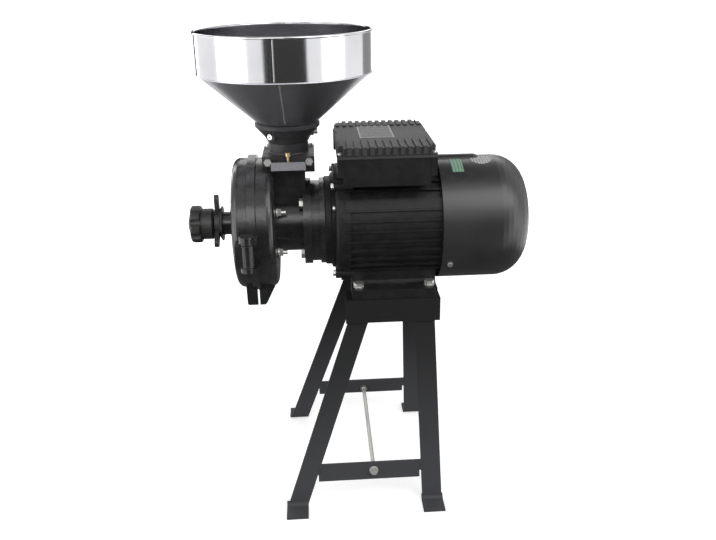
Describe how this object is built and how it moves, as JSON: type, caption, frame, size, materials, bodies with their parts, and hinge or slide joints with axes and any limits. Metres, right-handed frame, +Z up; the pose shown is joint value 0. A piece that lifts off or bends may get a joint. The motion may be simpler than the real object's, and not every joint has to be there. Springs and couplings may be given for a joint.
{
  "type": "electric grain mill",
  "caption": "Electric disc mill for grain: finned motor on a splayed steel stand, hinged grinding head with an adjusting knob, and a round steel hopper.",
  "frame": {"origin": "on the floor, below the middle of the machine's length and on the shaft's plane", "axes": "+X along the shaft from the adjusting knob to the fan cover, +Y towards the cover's clamp, +Z up"},
  "size_m": [0.521, 0.32, 0.7208],
  "materials": {
    "stand_paint": "satin",
    "motor_paint": "semi-gloss",
    "cover_paint": "gloss",
    "mill_paint": "semi-gloss",
    "box_metal": "matte",
    "hopper_steel": "polished",
    "zinc_steel": "satin",
    "machined_steel": "satin",
    "lamination_steel": "matte",
    "disc_iron": "matte",
    "adjuster_iron": "satin",
    "screw_brass": "satin",
    "copper": "satin",
    "black_plastic": "matte",
    "pale_plastic": "matte",
    "red_plastic": "gloss"
  },
  "bodies": {
    "mill": {"front_stand_frame": "stand_paint", "rear_stand_frame": "stand_paint", "tie_rod": "zinc_steel", "tie_rod_nuts": "zinc_steel", "foot_bolts": "zinc_steel", "foot_nuts": "zinc_steel", "motor_frame": "motor_paint", "stator_core": "lamination_steel", "stator_windings": "copper", "front_end_shield": "motor_paint", "rear_end_shield": "motor_paint", "front_bearing": "machined_steel", "rear_bearing": "machined_steel", "shield_bolts": "zinc_steel", "earth_screw": "zinc_steel", "fan_cover": "cover_paint", "fan_cover_screws": "zinc_steel", "capacitor_box": "motor_paint", "capacitor_box_lid": "box_metal", "box_lid_screws": "zinc_steel", "start_capacitor": "black_plastic", "run_capacitor": "pale_plastic", "terminal_block": "pale_plastic", "cable_gland": "black_plastic", "power_switch_body": "black_plastic", "mill_body": "mill_paint", "feed_housing": "mill_paint", "hopper_band": "hopper_steel", "lantern_bolts": "zinc_steel", "stationary_disc": "disc_iron", "disc_bolts": "zinc_steel", "disc_nuts": "zinc_steel", "hopper_seat": "mill_paint", "seat_bolts": "zinc_steel", "hopper": "hopper_steel", "hopper_screws": "zinc_steel", "pivot_pins": "mill_paint"},
    "rotor": {"motor_shaft": "machined_steel", "rotor_core": "lamination_steel", "cooling_fan": "black_plastic", "centrifugal_governor": "screw_brass", "feed_auger": "disc_iron", "drive_key": "machined_steel", "plate_spring": "machined_steel"},
    "plate": {"plate_carrier": "mill_paint", "rotating_disc": "disc_iron", "disc_screws": "zinc_steel", "thrust_ball": "machined_steel"},
    "cover": {"front_cover": "mill_paint"},
    "thrust": {"thrust_pad": "machined_steel"},
    "adjuster": {"adjusting_screw": "machined_steel", "adjusting_knob": "adjuster_iron"},
    "washer": {"lock_washer": "adjuster_iron"},
    "lock": {"lock_nut": "adjuster_iron"},
    "gate": {"slide_gate": "hopper_steel"},
    "gate_lock": {"gate_screw": "screw_brass"},
    "clamp_bolt": {"swing_bolt": "zinc_steel"},
    "clamp_slide": {"clamp_washer": "zinc_steel"},
    "clamp_turn": {"clamp_nut": "zinc_steel"},
    "rocker": {"power_rocker": "red_plastic"}
  },
  "joints": [
    {"name": "rotor_spin", "type": "hinge", "parent": "mill", "child": "rotor", "pos_m": [-0.1035, 0, 0.435], "axis": [1, 0, 0], "continuous": true},
    {"name": "plate_slide", "type": "slide", "parent": "rotor", "child": "plate", "axis": [-1, 0, 0], "range_m": [0, 0.00375]},
    {"name": "cover_swing", "type": "hinge", "parent": "mill", "child": "cover", "pos_m": [-0.165, -0.112, 0.423], "axis": [0, 0, 1], "range_deg": [0, 110]},
    {"name": "thrust_slide", "type": "slide", "parent": "cover", "child": "thrust", "axis": [-1, 0, 0], "range_m": [0, 0.00375]},
    {"name": "adjust_turn", "type": "hinge", "parent": "thrust", "child": "adjuster", "pos_m": [-0.1035, 0, 0.435], "axis": [-1, 0, 0], "range_deg": [0, 545]},
    {"name": "washer_slide", "type": "slide", "parent": "cover", "child": "washer", "axis": [-1, 0, 0], "range_m": [0, 0.0011]},
    {"name": "lock_turn", "type": "hinge", "parent": "washer", "child": "lock", "pos_m": [-0.1035, 0, 0.435], "axis": [-1, 0, 0], "range_deg": [0, 150]},
    {"name": "gate_slide", "type": "slide", "parent": "mill", "child": "gate", "axis": [0, -1, 0], "range_m": [0, 0.045]},
    {"name": "gate_screw_turn", "type": "hinge", "parent": "mill", "child": "gate_lock", "pos_m": [-0.1035, -0.0417, 0.53], "axis": [0, 0, 1], "range_deg": [0, 360]},
    {"name": "clamp_swing", "type": "hinge", "parent": "mill", "child": "clamp_bolt", "pos_m": [-0.1475, 0.113, 0.435], "axis": [0, 0, 1], "range_deg": [0, 150]},
    {"name": "clamp_washer_slide", "type": "slide", "parent": "clamp_bolt", "child": "clamp_slide", "axis": [-0.866, -0.5, 0], "range_m": [0, 0.00675]},
    {"name": "clamp_nut_turn", "type": "hinge", "parent": "clamp_slide", "child": "clamp_turn", "pos_m": [-0.1475, 0.113, 0.435], "axis": [-0.866, -0.5, 0], "range_deg": [0, 1640]},
    {"name": "rocker_tip", "type": "hinge", "parent": "mill", "child": "rocker", "pos_m": [0.002, 0.093, 0.53], "axis": [0, 0, 1], "range_deg": [-20, 0]}
  ],
  "couplings": [
    {"joint": "adjust_turn", "follows": "thrust_slide", "rad_per_m": 2513.3},
    {"joint": "plate_slide", "follows": "thrust_slide", "ratio": 1},
    {"joint": "washer_slide", "follows": "lock_turn", "m_per_rad": 0.00039789},
    {"joint": "clamp_nut_turn", "follows": "clamp_washer_slide", "rad_per_m": 4188.8}
  ]
}
